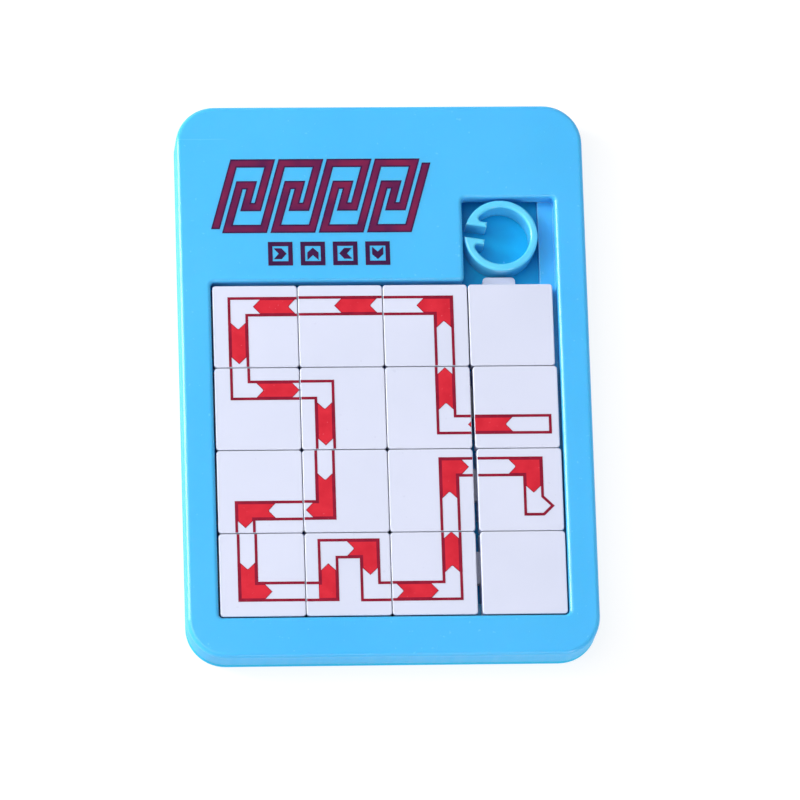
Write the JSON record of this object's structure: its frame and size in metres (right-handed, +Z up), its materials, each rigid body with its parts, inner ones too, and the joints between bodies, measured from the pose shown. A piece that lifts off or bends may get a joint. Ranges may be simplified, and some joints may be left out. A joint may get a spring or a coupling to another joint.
{
  "type": "sliding tile puzzle",
  "caption": "Pocket sliding maze puzzle: blue two-shell tray, white tiles with a printed red arrow path, one free cell and a loose C-shaped lock ring.",
  "frame": {"origin": "middle of the underside, on the surface that the puzzle lies on", "axes": "+X across the tray to the free cell's side, +Y along its length towards the header, +Z up out of the tiles' faces"},
  "size_m": [0.073, 0.1016, 0.0074],
  "materials": {
    "tray_blue": "polished sky-blue styrene moulding",
    "cover_blue": "sky-blue styrene moulding with faint ejector marks",
    "ring_blue": "polished sky-blue springy moulding",
    "tile_white": "satin-gloss cool white styrene moulding",
    "ink_red": "pad-printed red ink",
    "ink_crimson": "pad-printed dark crimson outline ink",
    "ink_plum": "pad-printed plum ink"
  },
  "bodies": {
    "tray": {"front_frame": "tray_blue", "back_cover": "cover_blue"},
    "lock_ring": {"lock_ring": "ring_blue"},
    "tile_r1c1": {"tile_r1c1": "tile_white"},
    "tile_r1c2": {"tile_r1c2": "tile_white"},
    "tile_r1c3": {"tile_r1c3": "tile_white"},
    "tile_r1c4": {"tile_r1c4": "tile_white"},
    "tile_r2c1": {"tile_r2c1": "tile_white"},
    "tile_r2c2": {"tile_r2c2": "tile_white"},
    "tile_r2c3": {"tile_r2c3": "tile_white"},
    "tile_r2c4": {"tile_r2c4": "tile_white"},
    "tile_r3c1": {"tile_r3c1": "tile_white"},
    "tile_r3c2": {"tile_r3c2": "tile_white"},
    "tile_r3c3": {"tile_r3c3": "tile_white"},
    "tile_r3c4": {"tile_r3c4": "tile_white"},
    "tile_r4c1": {"tile_r4c1": "tile_white"},
    "tile_r4c2": {"tile_r4c2": "tile_white"},
    "tile_r4c3": {"tile_r4c3": "tile_white"},
    "tile_r4c4": {"tile_r4c4": "tile_white"}
  },
  "joints": [
    {"name": "ring_lift", "type": "slide", "parent": "tray", "child": "lock_ring", "axis": [0, 0, 1], "range_m": [0, 0.1]},
    {"name": "tile_r1c1_slide", "type": "slide", "parent": "tray", "child": "tile_r1c1", "axis": [1, 0, 0], "range_m": [-0.00028, 0.00009]},
    {"name": "tile_r1c2_slide", "type": "slide", "parent": "tray", "child": "tile_r1c2", "axis": [1, 0, 0], "range_m": [-0.00009, 0.00009]},
    {"name": "tile_r1c3_slide", "type": "slide", "parent": "tray", "child": "tile_r1c3", "axis": [1, 0, 0], "range_m": [-0.00009, 0.00019]},
    {"name": "tile_r1c4_slide", "type": "slide", "parent": "tray", "child": "tile_r1c4", "axis": [0, 1, 0], "range_m": [0, 0.0152]},
    {"name": "tile_r2c1_slide", "type": "slide", "parent": "tray", "child": "tile_r2c1", "axis": [1, 0, 0], "range_m": [-0.00028, 0.00009]},
    {"name": "tile_r2c2_slide", "type": "slide", "parent": "tray", "child": "tile_r2c2", "axis": [1, 0, 0], "range_m": [-0.00009, 0.00009]},
    {"name": "tile_r2c3_slide", "type": "slide", "parent": "tray", "child": "tile_r2c3", "axis": [1, 0, 0], "range_m": [-0.00009, 0.00051]},
    {"name": "tile_r2c4_slide", "type": "slide", "parent": "tray", "child": "tile_r2c4", "axis": [0, 1, 0], "range_m": [0, 0.0152]},
    {"name": "tile_r3c1_slide", "type": "slide", "parent": "tray", "child": "tile_r3c1", "axis": [1, 0, 0], "range_m": [-0.00028, 0.00009]},
    {"name": "tile_r3c2_slide", "type": "slide", "parent": "tray", "child": "tile_r3c2", "axis": [1, 0, 0], "range_m": [-0.00009, 0.00009]},
    {"name": "tile_r3c3_slide", "type": "slide", "parent": "tray", "child": "tile_r3c3", "axis": [1, 0, 0], "range_m": [-0.00009, 0.00071]},
    {"name": "tile_r3c4_slide", "type": "slide", "parent": "tray", "child": "tile_r3c4", "axis": [0, 1, 0], "range_m": [0, 0.0152]},
    {"name": "tile_r4c1_slide", "type": "slide", "parent": "tray", "child": "tile_r4c1", "axis": [1, 0, 0], "range_m": [-0.00028, 0.00009]},
    {"name": "tile_r4c2_slide", "type": "slide", "parent": "tray", "child": "tile_r4c2", "axis": [1, 0, 0], "range_m": [-0.00009, 0.00009]},
    {"name": "tile_r4c3_slide", "type": "slide", "parent": "tray", "child": "tile_r4c3", "axis": [1, 0, 0], "range_m": [-0.00009, 0.00082]},
    {"name": "tile_r4c4_slide", "type": "slide", "parent": "tray", "child": "tile_r4c4", "axis": [0, 1, 0], "range_m": [0, 0.0152]}
  ],
  "couplings": [
    {"joint": "tile_r1c4_slide", "follows": "ring_lift", "ratio": 0.152},
    {"joint": "tile_r2c4_slide", "follows": "ring_lift", "ratio": 0.152},
    {"joint": "tile_r3c4_slide", "follows": "ring_lift", "ratio": 0.152},
    {"joint": "tile_r4c4_slide", "follows": "ring_lift", "ratio": 0.152}
  ]
}
